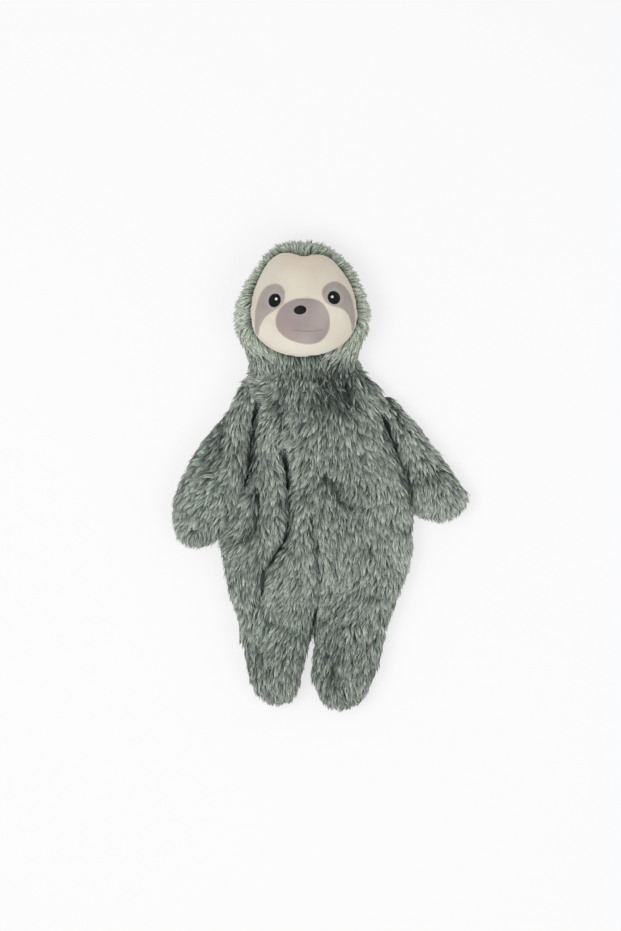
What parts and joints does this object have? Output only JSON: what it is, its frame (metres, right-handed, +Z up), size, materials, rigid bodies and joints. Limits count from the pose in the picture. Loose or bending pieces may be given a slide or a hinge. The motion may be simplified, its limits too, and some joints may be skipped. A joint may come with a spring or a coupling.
{
  "type": "plush sloth",
  "caption": "Long-pile plush sloth lying on its back, with a velour face in a fur hood and limp sewn-on head, arms and legs.",
  "frame": {"origin": "on the surface the toy lies on, under the middle of its bounding box", "axes": "+Z up from that surface towards the toy's front, +Y towards the crown, +X towards the toy's own left hand"},
  "size_m": [0.2788, 0.445, 0.0831],
  "materials": {
    "sage_fur": "long frosted pile, grey-green",
    "cream_velour": "short-nap velour, cream",
    "taupe_velour": "short-nap velour, taupe grey",
    "black_satin_stitch": "black satin-stitched embroidery",
    "white_thread": "white stitched thread",
    "taupe_thread": "taupe sewing thread",
    "fibre_filling": "white polyester fibre"
  },
  "bodies": {
    "torso": {"torso_front_panel": "sage_fur", "torso_back_panel": "sage_fur", "torso_filling": "fibre_filling"},
    "head": {"hood_front_panel": "sage_fur", "hood_back_panel": "sage_fur", "head_filling": "fibre_filling", "face_panel": "cream_velour", "muzzle_patch": "taupe_velour", "right_eye_patch": "taupe_velour", "left_eye_patch": "taupe_velour", "right_eye": "black_satin_stitch", "left_eye": "black_satin_stitch", "right_eye_highlight": "white_thread", "left_eye_highlight": "white_thread", "nose": "black_satin_stitch", "mouth_stitch": "taupe_thread"},
    "right_arm": {"right_arm_front_panel": "sage_fur", "right_arm_back_panel": "sage_fur", "right_arm_filling": "fibre_filling"},
    "left_arm": {"left_arm_front_panel": "sage_fur", "left_arm_back_panel": "sage_fur", "left_arm_filling": "fibre_filling"},
    "right_leg": {"right_leg_front_panel": "sage_fur", "right_leg_back_panel": "sage_fur", "right_leg_filling": "fibre_filling"},
    "left_leg": {"left_leg_front_panel": "sage_fur", "left_leg_back_panel": "sage_fur", "left_leg_filling": "fibre_filling"}
  },
  "joints": [
    {"name": "neck_nod", "type": "hinge", "parent": "torso", "child": "head", "pos_m": [-0.01186, 0.1063, 0.02015], "axis": [1, 0, 0], "range_deg": [0, 70]},
    {"name": "right_arm_fold", "type": "hinge", "parent": "torso", "child": "right_arm", "pos_m": [-0.06631, 0.03775, 0.02015], "axis": [-0.128, 0.9918, 0], "range_deg": [0, 100]},
    {"name": "left_arm_fold", "type": "hinge", "parent": "torso", "child": "left_arm", "pos_m": [0.06701, 0.04834, 0.02015], "axis": [0.3008, -0.9537, 0], "range_deg": [0, 100]},
    {"name": "right_leg_fold", "type": "hinge", "parent": "torso", "child": "right_leg", "pos_m": [-0.04354, -0.157, 0.02015], "axis": [-1, 0, 0], "range_deg": [0, 95]},
    {"name": "left_leg_fold", "type": "hinge", "parent": "torso", "child": "left_leg", "pos_m": [0.02796, -0.157, 0.02015], "axis": [-1, 0, 0], "range_deg": [0, 95]}
  ]
}
